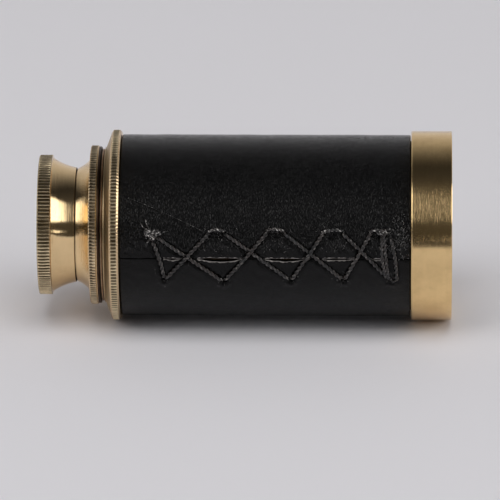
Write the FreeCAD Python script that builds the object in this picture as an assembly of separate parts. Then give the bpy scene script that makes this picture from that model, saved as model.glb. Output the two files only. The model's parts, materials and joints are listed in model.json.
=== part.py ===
"""Pocket spyglass with three draws, lying closed on its side.

The optical axis runs along X, eyepiece at -X and objective at +X, and +Z is up. The origin is
under the middle of the closed instrument, on the surface that it lies on. Lengths along the
instrument are measured from the eyepiece's face and radii from the optical axis, in millimetres.
"""
import FreeCAD, Part
import math
import os

# ---------------------------------------------------------------- driving dimensions
TOTAL_LENGTH = 68.25         # closed, face of the eyecup to face of the objective ring
COLLAR_RADIUS = 15.75        # barrel collar: the largest radius, so it sets the axis height
AXIS_HEIGHT = COLLAR_RADIUS
EYE_FACE_X = -TOTAL_LENGTH / 2

# tubes: outer radius and wall
WALL = 0.4
BARREL_WALL = 0.5
BARREL_RADIUS = 14.0
DRAW_1_RADIUS = 11.9
DRAW_2_RADIUS = 10.6
DRAW_3_RADIUS = 9.0

# where the ends of the sections lie, from the eyepiece's face
FLANGE_END = 2.2             # knurled flange of the eyecup
EYECUP_END = 6.28
DRAW_2_COLLAR = (6.4, 8.52)
CAP_RING = (8.55, 9.95)      # knurled cap of draw 1, screwed home on the threaded collar
THREADED_COLLAR = (9.2, 10.83)
BARREL_COLLAR = (10.85, 13.58)
LEATHER = (13.75, 61.43)
OBJECTIVE_RING = (61.55, TOTAL_LENGTH)
BARREL_TUBE_END = OBJECTIVE_RING[0] + 3.4

# fits
RUNNING = 0.05               # radial clearance of a draw in its guide
SNUG = 0.02                  # radial gap between pieces that are pressed or screwed together
STOP_GAP = 0.1               # radial gap round a stop ring
TRAVEL = 35.5                # of each draw, from closed to its stop
STOP_SLACK = 0.1             # left between a stop ring and its guide at full travel
STOP_RING_LENGTH = 2.2
LINING_LENGTH = 6.8          # of the felt sleeves
LINING_WALL = 0.63
SLEEVE_WALL = 0.48           # of the guide sleeve in draw 1
DRAW_2_SPIGOT_WALL = 0.4

# inner ends of the three guides, and the tubes' inner ends that follow from them
BARREL_GUIDE_END = BARREL_COLLAR[0] + 8.6
SLEEVE_START = CAP_RING[0] + 0.65
SLEEVE_END = SLEEVE_START + 7.6
DRAW_2_GUIDE_END = DRAW_2_COLLAR[0] + 8.9
DRAW_1_END = BARREL_GUIDE_END + TRAVEL + STOP_SLACK + STOP_RING_LENGTH
DRAW_2_END = SLEEVE_END + TRAVEL + STOP_SLACK + STOP_RING_LENGTH
DRAW_3_END = DRAW_2_GUIDE_END + TRAVEL + STOP_SLACK + STOP_RING_LENGTH
DRAW_3_START = 3.0           # inside the eyecup

# glasses: seats of their rear faces, radii, and the cell's and tube's places
OBJECTIVE_CELL = (OBJECTIVE_RING[1] - 7.65, OBJECTIVE_RING[1] - 1.45)
OBJECTIVE_SEAT = OBJECTIVE_CELL[0] + 0.85
LENS_RADIUS = 12.6
FLINT_RIM = OBJECTIVE_SEAT + 2.2
CROWN_RIM = (FLINT_RIM + 0.04, FLINT_RIM + 1.14)
EYE_LENS_SEAT = 2.75
EYE_LENS_RIM = EYE_LENS_SEAT + 0.9
EYE_LENS_RADIUS = 5.2
FIELD_STOP_START = 9.0
FIELD_LENS_SEAT = 17.0
FIELD_LENS_RADIUS = 7.3
ERECTOR = (33.0, 52.0)
ERECTOR_LENS_DEPTH = 2.6     # of the seats in the two ends of the erector tube
ERECTOR_RIM_DEPTH = 1.5      # of the lenses' rims
ERECTOR_LENS_RADIUS = 6.6
ERECTOR_BORE = 5.9

# knurls: straight V grooves, counted round each rim
FLANGE_TEETH = 120
CAP_TEETH = 142
COLLAR_TEETH = 164
KNURL_DEPTH = 0.16
FLANGE_RADIUS = 11.56
CAP_RADIUS = 13.15
OBJECTIVE_RING_RADIUS = 15.65

# collar of draw 1: its thread, and its two beads as (start, end, radius)
THREAD_RADIUS = 12.6
THREAD_PITCH = 0.32
THREAD_DEPTH = 0.2
SHOULDER_BEADS = ((9.98, 10.3, 13.0), (10.4, 10.78, 12.6))

# leather cover and its lacing
LEATHER_RADIUS = 15.0
SEAM_ELEVATION = -2.0        # degrees above the horizontal -Y side
SEAM_GAP = 0.25
HOLE_SPREAD = 16.2           # degrees from the seam to each row of holes
HOLE_RADIUS = 0.33
THREAD_WIDTH = 0.52
LACE_LOW = (15.03, 15.37)    # the strands that lie underneath at the crossings
LACE_HIGH = (15.38, 15.72)   # and those that lie over them
KNOT_RADIUS = 0.45

# holes of the lacing along the instrument
UPPER_HOLES = (19.0, 28.4, 30.8, 37.8, 40.0, 46.8, 49.9, 54.9, 57.6)
LOWER_HOLES = (20.9, 30.2, 41.0, 50.1, 58.4)

AXIS = FreeCAD.Vector(1, 0, 0)


# ---------------------------------------------------------------- helpers
def at(x, r):
    """A point of a profile: x from the eyepiece's face, r from the optical axis."""
    return FreeCAD.Vector(EYE_FACE_X + x, 0, AXIS_HEIGHT + r)


def turned(*outline):
    """A turned piece. The outline is a closed list of (x, r); an item (middle, end) is an arc."""
    edges = []
    first = last = at(*outline[0])
    for item in outline[1:] + (outline[0],):
        if isinstance(item[0], tuple):
            middle, end = at(*item[0]), at(*item[1])
            edges.append(Part.Arc(last, middle, end).toShape())
        else:
            end = at(*item)
            if end.distanceToPoint(last) > 1e-7:
                edges.append(Part.LineSegment(last, end).toShape())
        last = end
    if last.distanceToPoint(first) > 1e-7:
        edges.append(Part.LineSegment(last, first).toShape())
    face = Part.Face(Part.Wire(edges))
    return face.revolve(FreeCAD.Vector(0, 0, AXIS_HEIGHT), AXIS, 360)


def ring(start, end, outer, inner):
    """A plain ring or tube."""
    return turned((start, inner), (end, inner), (end, outer), (start, outer))


def dome(rim_x, apex_x, radius):
    """A lens face as an arc for turned(): from its rim to its apex on the optical axis."""
    sag = abs(apex_x - rim_x)
    sphere = (radius ** 2 + sag ** 2) / (2 * sag)
    depth = sphere - math.sqrt(sphere ** 2 - (radius / 2) ** 2)
    return (apex_x - math.copysign(depth, apex_x - rim_x), radius / 2), (apex_x, 0)


def knurl_envelope(start, end, radius, teeth):
    """A prism whose section is a ring of V teeth; a turned piece keeps what lies inside it."""
    corners = []
    for step in range(2 * teeth):
        angle = math.pi * step / teeth
        r = radius if step % 2 == 0 else radius - KNURL_DEPTH
        y = r * math.sin(angle)
        z = AXIS_HEIGHT + r * math.cos(angle)
        corners.append(FreeCAD.Vector(EYE_FACE_X + start, y, z))
    section = Part.Face(Part.makePolygon(corners + corners[:1]))
    return section.extrude(AXIS * (end - start))


def knurled(piece, start, end, radius, teeth):
    """The turned piece with straight knurling on whatever reaches the given radius."""
    margin = 0.5
    return piece.common(knurl_envelope(start - margin, end + margin, radius, teeth))


def radial(elevation):
    """The outward direction at an elevation above the horizontal -Y side, in degrees."""
    a = math.radians(elevation)
    return FreeCAD.Vector(0, -math.cos(a), math.sin(a))


def on_cover(x, r, elevation):
    """A point at radius r over the leather."""
    return FreeCAD.Vector(EYE_FACE_X + x, 0, AXIS_HEIGHT) + radial(elevation) * r


def one_solid(shape):
    """The only solid of a boolean's result."""
    solids = shape.removeSplitter().Solids
    if len(solids) != 1:
        raise ValueError("expected one solid, found %d" % len(solids))
    return solids[0]


# ---------------------------------------------------------------- barrel and objective
def barrel_tube():
    """The main tube; the collar's spigot fits one end and the objective ring goes over the other."""
    return ring(BARREL_COLLAR[1], BARREL_TUBE_END, BARREL_RADIUS, BARREL_RADIUS - BARREL_WALL)


def barrel_collar():
    """Collar with a polished cone in front, a knurled rim and a spigot that guides draw 1."""
    nose, back = BARREL_COLLAR
    bore = DRAW_1_RADIUS + RUNNING
    spigot = BARREL_RADIUS - BARREL_WALL - SNUG
    lining_seat = bore + LINING_WALL + SNUG
    lip_end = nose + 1.6
    cone_end, rim_start = nose + 1.17, nose + 1.45
    nose_radius = 12.85
    chamfer = 0.33
    piece = turned(
        (nose, bore), (nose, nose_radius - 0.1), (nose + 0.06, nose_radius),
        (cone_end, COLLAR_RADIUS - chamfer), (rim_start, COLLAR_RADIUS),
        (back - chamfer, COLLAR_RADIUS), (back, COLLAR_RADIUS - chamfer), (back, spigot),
        (BARREL_GUIDE_END, spigot), (BARREL_GUIDE_END, lining_seat), (lip_end, lining_seat),
        (lip_end, bore),
    )
    return one_solid(knurled(piece, nose, BARREL_GUIDE_END, COLLAR_RADIUS, COLLAR_TEETH))


def barrel_lining():
    """Felt sleeve in the collar's spigot, which grips draw 1."""
    start = BARREL_COLLAR[0] + 1.65
    bore = DRAW_1_RADIUS + RUNNING
    return ring(start, start + LINING_LENGTH, bore + LINING_WALL, bore)


def leather_cover():
    """One wrap of leather, open along its seam, with a row of lacing holes each side."""
    cover = ring(LEATHER[0], LEATHER[1], LEATHER_RADIUS, BARREL_RADIUS + 0.03)
    length = LEATHER[1] - LEATHER[0] + 2
    slit = Part.makeBox(length, 4, SEAM_GAP, FreeCAD.Vector(-length / 2, -2, -SEAM_GAP / 2))
    middle = (LEATHER[0] + LEATHER[1]) / 2
    slit.rotate(FreeCAD.Vector(0, 0, 0), AXIS, -SEAM_ELEVATION)
    slit.translate(on_cover(middle, LEATHER_RADIUS, SEAM_ELEVATION))
    holes = [hole_plug(x, elevation, HOLE_RADIUS, BARREL_RADIUS - 0.2, LEATHER_RADIUS + 1)
             for x, elevation in all_holes()]
    return one_solid(cover.cut([slit] + holes))


def all_holes():
    """Every lacing hole as (x, elevation)."""
    upper = [(x, SEAM_ELEVATION + HOLE_SPREAD) for x in UPPER_HOLES]
    lower = [(x, SEAM_ELEVATION - HOLE_SPREAD) for x in LOWER_HOLES]
    return upper + lower


def hole_plug(x, elevation, radius, r_start, r_end):
    """A pin along the radius, used for a hole or for the thread that fills it."""
    return Part.makeCylinder(radius, r_end - r_start, on_cover(x, r_start, elevation), radial(elevation))


def strand(start, end, level):
    """A strand over the leather from hole to hole, bent to the cover's curve."""
    ends = []
    for x, elevation in (start, end):
        offset = math.radians(elevation - SEAM_ELEVATION)
        ends.append((x, LEATHER_RADIUS * math.sin(offset)))
    (x0, t0), (x1, t1) = ends
    span = math.hypot(x1 - x0, t1 - t0)
    side_x = -(t1 - t0) / span * THREAD_WIDTH / 2
    side_t = (x1 - x0) / span * THREAD_WIDTH / 2
    out = radial(SEAM_ELEVATION)
    along_rim = radial(SEAM_ELEVATION + 90)

    def corner(x, t):
        return FreeCAD.Vector(EYE_FACE_X + x, 0, AXIS_HEIGHT) + along_rim * t + out * 10

    corners = [corner(x0 + side_x, t0 + side_t), corner(x1 + side_x, t1 + side_t),
               corner(x1 - side_x, t1 - side_t), corner(x0 - side_x, t0 - side_t)]
    wall = Part.Face(Part.makePolygon(corners + corners[:1])).extrude(out * 8)
    shell = ring(LEATHER[0], LEATHER[1], level[1], level[0])
    return wall.common(shell).Solids[0]


def lacing_thread():
    """The waxed thread that laces the leather: crossed strands, short bars and two knots."""
    upper = [(x, SEAM_ELEVATION + HOLE_SPREAD) for x in UPPER_HOLES]
    lower = [(x, SEAM_ELEVATION - HOLE_SPREAD) for x in LOWER_HOLES]
    pieces = []
    for turn in range(4):
        pieces.append(strand(upper[2 * turn], lower[turn + 1], LACE_LOW))
        pieces.append(strand(lower[turn], upper[2 * turn + 1], LACE_HIGH))
        pieces.append(strand(upper[2 * turn + 1], upper[2 * turn + 2], LACE_LOW))
    pieces.append(strand(upper[0], lower[0], LACE_LOW))
    pieces.append(strand(upper[8], lower[4], LACE_HIGH))
    for x, elevation in all_holes():
        pieces.append(hole_plug(x, elevation, THREAD_WIDTH / 2, BARREL_RADIUS + 0.05, LACE_HIGH[1] - 0.02))
    for x, elevation in (upper[0], lower[4]):
        centre = on_cover(x, LACE_HIGH[1] - KNOT_RADIUS - 0.02, elevation)
        knot = Part.makeSphere(KNOT_RADIUS, centre)
        pieces.append(knot.common(ring(LEATHER[0], LEATHER[1], LACE_HIGH[1], LACE_LOW[0])))
    return one_solid(pieces[0].fuse(pieces[1:]))


def objective_ring():
    """Satin bezel over the end of the barrel; its front lip keeps the lens cell in."""
    start, end = OBJECTIVE_RING
    tube_seat = BARREL_RADIUS + SNUG
    tube_stop = BARREL_TUBE_END + 0.1
    cell_seat = BARREL_RADIUS - BARREL_WALL
    cell_stop = OBJECTIVE_CELL[1] + 0.05
    opening = 12.9
    bevel = 0.2
    return turned(
        (start, tube_seat), (start, OBJECTIVE_RING_RADIUS - bevel),
        (start + bevel, OBJECTIVE_RING_RADIUS), (end - bevel, OBJECTIVE_RING_RADIUS),
        (end, OBJECTIVE_RING_RADIUS - bevel), (end, opening + 1.4), (end - 0.9, opening),
        (cell_stop, opening), (cell_stop, cell_seat), (tube_stop, cell_seat), (tube_stop, tube_seat),
    )


def objective_cell():
    """Inner cell with a rear seat for the two objective glasses."""
    start, end = OBJECTIVE_CELL
    outer = BARREL_RADIUS - BARREL_WALL - 2 * SNUG
    bore = LENS_RADIUS + 0.05
    seat, opening = start + 0.8, LENS_RADIUS - 1.0
    return turned((start, opening), (start, outer), (end, outer), (end, bore), (seat, bore),
                  (seat, opening))


def flint_lens():
    """Rear glass of the objective: flat behind, hollow in front."""
    back, rim = OBJECTIVE_SEAT, FLINT_RIM
    return turned((back, 0), (back, LENS_RADIUS), (rim, LENS_RADIUS), dome(rim, rim - 1.1, LENS_RADIUS))


def crown_lens():
    """Front glass of the objective: bulged on both faces, its rear fits the flint's hollow."""
    rim, front = CROWN_RIM
    middle, apex = dome(rim, rim - 1.1, LENS_RADIUS)
    return turned(apex, (middle, (rim, LENS_RADIUS)), (front, LENS_RADIUS),
                  dome(front, front + 1.0, LENS_RADIUS))


def lens_retaining_ring():
    """Screwed ring in front of the objective glasses, with two slots for a key."""
    start = CROWN_RIM[1] + 0.04
    end = start + 0.9
    outer = LENS_RADIUS + SNUG
    opening = LENS_RADIUS - 0.9
    body = turned((start, LENS_RADIUS - 0.25), (start, outer), (end, outer), (end, opening + 0.4),
                  (end - 0.25, opening), (start + 0.35, opening))
    slot_width, slot_depth = 1.0, 0.4
    slot = Part.makeBox(slot_depth + 1, 40, slot_width,
                        FreeCAD.Vector(EYE_FACE_X + end - slot_depth, -20, AXIS_HEIGHT - slot_width / 2))
    return one_solid(body.cut(slot))


def stop_ring(end, outside_bore, tube_radius):
    """Ring round a draw tube's inner end, running in the tube outside it."""
    return ring(end - STOP_RING_LENGTH, end, outside_bore - STOP_GAP, tube_radius + SNUG)


# ---------------------------------------------------------------- draw 1, the widest
def draw_1_tube():
    """Widest draw tube."""
    return ring(THREADED_COLLAR[0], DRAW_1_END, DRAW_1_RADIUS, DRAW_1_RADIUS - WALL)


def draw_1_threaded_collar():
    """Collar on the end of draw 1: a thread for the cap, then two turned beads that stay in sight."""
    start, end = THREADED_COLLAR
    seat, root = DRAW_1_RADIUS + SNUG, THREAD_RADIUS - THREAD_DEPTH
    thread_end = CAP_RING[1]
    crest = 0.06
    flank = (THREAD_PITCH - crest) / 2
    outline = [(start, seat), (start, root)]
    for turn in range(int((thread_end - start) / THREAD_PITCH)):
        x = start + 0.05 + turn * THREAD_PITCH
        outline += [(x + flank, THREAD_RADIUS), (x + flank + crest, THREAD_RADIUS),
                    (x + THREAD_PITCH, root)]
    for bead_start, bead_end, bead_radius in SHOULDER_BEADS:
        foot = bead_radius - 0.25
        middle = (bead_start + bead_end) / 2
        outline += [(bead_start, root), (bead_start, foot), ((middle, bead_radius), (bead_end, foot)),
                    (bead_end, root)]
    outline += [(end, root), (end, seat)]
    return turned(*outline)


def draw_1_cap_ring():
    """Knurled cap that screws on draw 1's collar and keeps the lining in."""
    start, end = CAP_RING
    wall_end = start + 0.6
    bore = DRAW_2_RADIUS + RUNNING
    front_bevel, back_bevel = 0.12, 0.25
    piece = turned(
        (start, bore), (start, CAP_RADIUS - front_bevel), (start + front_bevel, CAP_RADIUS),
        (end - back_bevel, CAP_RADIUS), (end, CAP_RADIUS - back_bevel), (end, THREAD_RADIUS + SNUG),
        (wall_end, THREAD_RADIUS + SNUG), (wall_end, bore),
    )
    return one_solid(knurled(piece, start, end, CAP_RADIUS, CAP_TEETH))


def draw_1_lining():
    """Felt sleeve in the end of draw 1, which grips draw 2."""
    outer = DRAW_1_RADIUS - WALL - SLEEVE_WALL - SNUG
    return ring(SLEEVE_START, SLEEVE_START + LINING_LENGTH, outer, DRAW_2_RADIUS + RUNNING)


def draw_1_guide_sleeve():
    """Brass sleeve fixed inside draw 1; it holds the felt and is what draw 2's stop ring meets."""
    outer = DRAW_1_RADIUS - WALL
    return ring(SLEEVE_START, SLEEVE_END, outer - SNUG, outer - SLEEVE_WALL)


def draw_1_stop_ring():
    """Ring on the inner end of draw 1 that keeps it in the barrel."""
    bore = BARREL_RADIUS - BARREL_WALL
    return stop_ring(DRAW_1_END, bore, DRAW_1_RADIUS)


# ---------------------------------------------------------------- draw 2
def draw_2_tube():
    """Middle draw tube."""
    return ring(DRAW_2_COLLAR[1], DRAW_2_END, DRAW_2_RADIUS, DRAW_2_RADIUS - WALL)


def draw_2_collar():
    """Polished flared collar with a spigot inside draw 2, which guides draw 3."""
    start, end = DRAW_2_COLLAR
    bore = DRAW_3_RADIUS + RUNNING
    spigot = DRAW_2_RADIUS - WALL - SNUG
    lining_seat = spigot - DRAW_2_SPIGOT_WALL
    lip_end = end + 0.3
    flare = 10.92
    return turned(
        (start, bore), (start, 9.42), ((start + 1.05, 10.12), (end - 0.12, flare)), (end, flare),
        (end, spigot), (DRAW_2_GUIDE_END, spigot), (DRAW_2_GUIDE_END, lining_seat),
        (lip_end, lining_seat), (lip_end, bore),
    )


def draw_2_lining():
    """Felt sleeve in draw 2's collar, which grips draw 3."""
    start = DRAW_2_COLLAR[1] + 0.35
    outer = DRAW_2_RADIUS - WALL - SNUG - DRAW_2_SPIGOT_WALL - SNUG
    return ring(start, DRAW_2_GUIDE_END - 0.1, outer, DRAW_3_RADIUS + RUNNING)


def draw_2_stop_ring():
    """Ring on the inner end of draw 2 that keeps it in draw 1."""
    bore = DRAW_1_RADIUS - WALL
    return stop_ring(DRAW_2_END, bore, DRAW_2_RADIUS)


# ---------------------------------------------------------------- draw 3 and the eyepiece
def draw_3_tube():
    """Narrowest draw tube, which carries the eyepiece and the erecting lenses."""
    return ring(DRAW_3_START, DRAW_3_END, DRAW_3_RADIUS, DRAW_3_RADIUS - WALL)


def draw_3_stop_ring():
    """Ring on the inner end of draw 3 that keeps it in draw 2."""
    bore = DRAW_2_RADIUS - WALL
    return stop_ring(DRAW_3_END, bore, DRAW_3_RADIUS)


def eyecup():
    """Dished eyepiece cap: knurled flange, hollow waist, and a seat for the eye lens."""
    tube_seat = DRAW_3_RADIUS + SNUG
    tube_stop = DRAW_3_START - 0.05
    lens_bore = EYE_LENS_RADIUS + 0.05
    cell_wall, cell_end = EYE_LENS_RADIUS + 1.0, 5.2
    eye_hole = 4.0
    piece = turned(
        (0.0, 9.7), (0.0, FLANGE_RADIUS - 0.15), (0.15, FLANGE_RADIUS),
        (FLANGE_END - 0.1, FLANGE_RADIUS), (FLANGE_END, FLANGE_RADIUS - 0.17), (FLANGE_END + 0.05, 10.97),
        ((FLANGE_END + 1.7, 10.08), (EYECUP_END, 9.5)), (EYECUP_END, tube_seat),
        (tube_stop, tube_seat), (tube_stop, cell_wall), (cell_end, cell_wall), (cell_end, lens_bore),
        (EYE_LENS_SEAT, lens_bore), (EYE_LENS_SEAT, eye_hole + 0.2), (2.2, eye_hole),
        ((1.0, 5.6), (0.25, 9.45)),
    )
    return one_solid(knurled(piece, 0, EYECUP_END, FLANGE_RADIUS, FLANGE_TEETH))


def eye_lens():
    """Small lens next to the eye: bulged towards the objective."""
    flat, rim = EYE_LENS_SEAT + 0.03, EYE_LENS_RIM
    return turned((flat, 0), (flat, EYE_LENS_RADIUS), (rim, EYE_LENS_RADIUS),
                  dome(rim, rim + 0.8, EYE_LENS_RADIUS))


def lens_ring(near, far, lens_radius, opening):
    """A screwed ring behind a bulged lens: it bears on the rim and slopes clear of the bulge."""
    outer = lens_radius + SNUG
    slope = math.copysign(0.3, far - near)
    return turned((near, lens_radius - 0.12), (near, outer), (far, outer), (far, opening),
                  (near + slope, opening))


def eye_lens_ring():
    """Screwed ring behind the eye lens."""
    return lens_ring(EYE_LENS_RIM + 0.05, 5.1, EYE_LENS_RADIUS, 4.4)


def field_stop():
    """Thin diaphragm that edges the field of view."""
    start, end = FIELD_STOP_START, FIELD_STOP_START + 1.2
    outer = DRAW_3_RADIUS - WALL - SNUG
    sheet, opening = 0.3, 5.2
    return turned((start, opening), (start, outer), (end, outer), (end, outer - 0.68),
                  (start + sheet, outer - 0.68), (start + sheet, opening))


def field_lens_cell():
    """Ring that holds the field lens in draw 3."""
    outer = DRAW_3_RADIUS - WALL - SNUG
    start, end = FIELD_LENS_SEAT - 0.8, FIELD_LENS_SEAT + 3.0
    bore, opening = FIELD_LENS_RADIUS + 0.05, FIELD_LENS_RADIUS - 0.9
    return turned((start, opening), (start, outer), (end, outer), (end, bore),
                  (FIELD_LENS_SEAT, bore), (FIELD_LENS_SEAT, opening))


def field_lens():
    """Second lens of the eyepiece: bulged towards the objective."""
    flat, rim = FIELD_LENS_SEAT + 0.03, FIELD_LENS_SEAT + 1.2
    return turned((flat, 0), (flat, FIELD_LENS_RADIUS), (rim, FIELD_LENS_RADIUS),
                  dome(rim, rim + 1.2, FIELD_LENS_RADIUS))


def erector_tube():
    """Inner tube, pushed into draw 3's far end, that holds the two erecting lenses."""
    start, end = ERECTOR
    outer = DRAW_3_RADIUS - WALL - SNUG
    bore = ERECTOR_LENS_RADIUS + 0.04
    near_seat, far_seat = start + ERECTOR_LENS_DEPTH, end - ERECTOR_LENS_DEPTH
    return turned((start, bore), (start, outer), (end, outer), (end, bore), (far_seat, bore),
                  (far_seat, ERECTOR_BORE), (near_seat, ERECTOR_BORE), (near_seat, bore))


def erector_lens(mouth, inwards):
    """An erecting lens in the mouth of the erector tube: flat on its seat, bulged outwards."""
    flat = mouth + inwards * (ERECTOR_LENS_DEPTH - 0.03)
    rim = mouth + inwards * ERECTOR_RIM_DEPTH
    return turned((flat, 0), (flat, ERECTOR_LENS_RADIUS), (rim, ERECTOR_LENS_RADIUS),
                  dome(rim, rim - inwards * 0.8, ERECTOR_LENS_RADIUS))


def erector_ring(mouth, inwards):
    """The screwed ring in front of an erecting lens."""
    near = mouth + inwards * (ERECTOR_RIM_DEPTH - 0.05)
    return lens_ring(near, mouth + inwards * 0.1, ERECTOR_LENS_RADIUS, ERECTOR_BORE)


def erector_eye_lens():
    """Erecting lens nearer the eye."""
    return erector_lens(ERECTOR[0], 1)


def erector_field_lens():
    """Erecting lens nearer the objective."""
    return erector_lens(ERECTOR[1], -1)


def erector_eye_ring():
    """Screwed ring that holds the erecting lens nearer the eye."""
    return erector_ring(ERECTOR[0], 1)


def erector_field_ring():
    """Screwed ring that holds the erecting lens nearer the objective."""
    return erector_ring(ERECTOR[1], -1)


def erector_stop():
    """Small diaphragm between the erecting lenses that cuts stray light."""
    start = sum(ERECTOR) / 2
    end = start + 1.2
    outer = ERECTOR_BORE - 2 * SNUG
    sheet, opening = 0.3, 2.2
    return turned((start, opening), (start, outer), (end, outer), (end, outer - 0.56),
                  (start + sheet, outer - 0.56), (start + sheet, opening))


PIECES = [
    barrel_tube, barrel_collar, barrel_lining, leather_cover, lacing_thread, objective_ring,
    objective_cell, flint_lens, crown_lens, lens_retaining_ring,
    draw_1_tube, draw_1_threaded_collar, draw_1_cap_ring, draw_1_lining, draw_1_guide_sleeve,
    draw_1_stop_ring,
    draw_2_tube, draw_2_collar, draw_2_lining, draw_2_stop_ring,
    draw_3_tube, draw_3_stop_ring, eyecup, eye_lens, eye_lens_ring, field_stop, field_lens_cell,
    field_lens, erector_tube, erector_eye_lens, erector_field_lens, erector_eye_ring,
    erector_field_ring, erector_stop,
]


def main():
    os.makedirs("parts", exist_ok=True)
    for make in PIECES:
        shape = make()
        if not shape.isValid():
            raise ValueError(make.__name__ + " isn't a valid solid")
        shape.exportStep("parts/%s.step" % make.__name__)
        box = shape.BoundBox
        print("%-24s volume %9.2f mm3   x %7.2f to %6.2f" % (make.__name__, shape.Volume, box.XMin, box.XMax))


main()
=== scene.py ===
"""Looks of the pocket telescope: turned and knurled brass, laced black leather and coated glass.

Every shape is worked out in millimetres in the frame of the CAD model and made in metres. The
optical axis runs along X, the eyepiece is at -X and the leather's laced seam is on the -Y side.
"""
import json
import math

import bmesh
import bpy
import numpy as np
from mathutils import Matrix, Vector


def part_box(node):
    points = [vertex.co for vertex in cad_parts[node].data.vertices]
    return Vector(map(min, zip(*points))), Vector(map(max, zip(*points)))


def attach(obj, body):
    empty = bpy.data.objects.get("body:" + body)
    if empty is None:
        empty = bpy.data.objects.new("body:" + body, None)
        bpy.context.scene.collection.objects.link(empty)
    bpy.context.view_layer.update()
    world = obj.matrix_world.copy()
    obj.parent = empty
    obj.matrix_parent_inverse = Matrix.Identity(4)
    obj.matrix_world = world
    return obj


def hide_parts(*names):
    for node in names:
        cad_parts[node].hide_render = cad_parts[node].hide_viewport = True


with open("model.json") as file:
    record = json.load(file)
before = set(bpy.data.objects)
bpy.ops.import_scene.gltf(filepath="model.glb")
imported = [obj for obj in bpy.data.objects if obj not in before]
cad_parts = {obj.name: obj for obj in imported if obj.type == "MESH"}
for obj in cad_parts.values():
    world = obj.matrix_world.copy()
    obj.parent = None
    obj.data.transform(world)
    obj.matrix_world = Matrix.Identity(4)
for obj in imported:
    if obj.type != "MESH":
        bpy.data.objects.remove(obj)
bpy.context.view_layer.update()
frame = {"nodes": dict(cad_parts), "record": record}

MM = 0.001
SEED = 20

BODY_OF = {node: body for body, nodes in frame["record"]["behaviour"]["bodies"].items()
           for node in nodes}


# ---------------------------------------------------------------- where things are
def span(node):
    """First and last x of a CAD node, in millimetres."""
    low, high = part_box(node)
    return low.x / MM, high.x / MM


def radius(node):
    """Outer radius of a turned CAD node, in millimetres."""
    low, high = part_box(node)
    return (high.y - low.y) / 2 / MM


AXIS_Z = (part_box("barrel_tube")[0].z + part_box("barrel_tube")[1].z) / 2 / MM
EYE_FACE = span("eyecup")[0]
KNURL_DEPTH = 0.20
FLANGE_TEETH, CAP_TEETH, COLLAR_TEETH = 120, 142, 164
SNUG = 0.02
WALL = 0.4


# ---------------------------------------------------------------- mesh helpers
def new_piece(name, verts_mm, faces, materials, face_materials=None, smooth_angle=32):
    """A mesh object from points in millimetres, smooth apart from its sharp edges."""
    mesh = bpy.data.meshes.new(name)
    mesh.from_pydata((np.asarray(verts_mm) * MM).tolist(), [], faces)
    for made in materials:
        mesh.materials.append(made)
    if face_materials is not None:
        mesh.polygons.foreach_set("material_index", np.asarray(face_materials, np.int32))
    shell = bmesh.new()
    shell.from_mesh(mesh)
    bmesh.ops.recalc_face_normals(shell, faces=shell.faces)
    shell.to_mesh(mesh)
    shell.free()
    mesh.shade_smooth()
    mesh.set_sharp_from_angle(angle=math.radians(smooth_angle))
    piece = bpy.data.objects.new(name, mesh)
    bpy.context.scene.collection.objects.link(piece)
    return piece


def stands_for(piece, node):
    """The piece rides with a CAD node's body and is shown in its place."""
    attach(piece, BODY_OF[node])
    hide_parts(node)
    return piece


def arc(start, middle, end, steps=24):
    """Points of the circular arc through three points, without its first point."""
    (x1, y1), (x2, y2), (x3, y3) = start, middle, end
    d = 2 * (x1 * (y2 - y3) + x2 * (y3 - y1) + x3 * (y1 - y2))
    q1, q2, q3 = x1**2 + y1**2, x2**2 + y2**2, x3**2 + y3**2
    cx = (q1 * (y2 - y3) + q2 * (y3 - y1) + q3 * (y1 - y2)) / d
    cy = (q1 * (x3 - x2) + q2 * (x1 - x3) + q3 * (x2 - x1)) / d
    rim = math.hypot(x1 - cx, y1 - cy)
    a1, a2, a3 = (math.atan2(y - cy, x - cx) for x, y in (start, middle, end))
    turn = (a3 - a1) % (2 * math.pi)
    if (a2 - a1) % (2 * math.pi) > turn:
        turn -= 2 * math.pi
    return [(cx + rim * math.cos(a1 + turn * k / steps), cy + rim * math.sin(a1 + turn * k / steps))
            for k in range(1, steps + 1)]


def outline(*corners, steps=4):
    """A closed outline. A corner is (x, r) or (x, r, fillet); a list holds ready points."""
    flat = []
    for corner in corners:
        if isinstance(corner, list):
            flat += [(x, r, 0.0) for x, r in corner]
        else:
            flat.append(tuple(corner) if len(corner) == 3 else (*corner, 0.0))
    points = []
    for k, (x, r, fillet) in enumerate(flat):
        if not fillet:
            points.append((x, r))
            continue
        here = Vector((x, r))
        before, after = Vector(flat[k - 1][:2]), Vector(flat[(k + 1) % len(flat)][:2])
        back, ahead = (before - here).normalized(), (after - here).normalized()
        half = back.angle(ahead) / 2
        reach = min(fillet / math.tan(half), (before - here).length * 0.49, (after - here).length * 0.49)
        centre = here + (back + ahead).normalized() * (reach / math.cos(half))
        first, last = here + back * reach, here + ahead * reach
        size = (first - centre).length
        for step in range(steps + 1):
            mix = first.lerp(last, step / steps) - centre
            points.append(tuple(centre + mix.normalized() * size))
    return points


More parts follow.
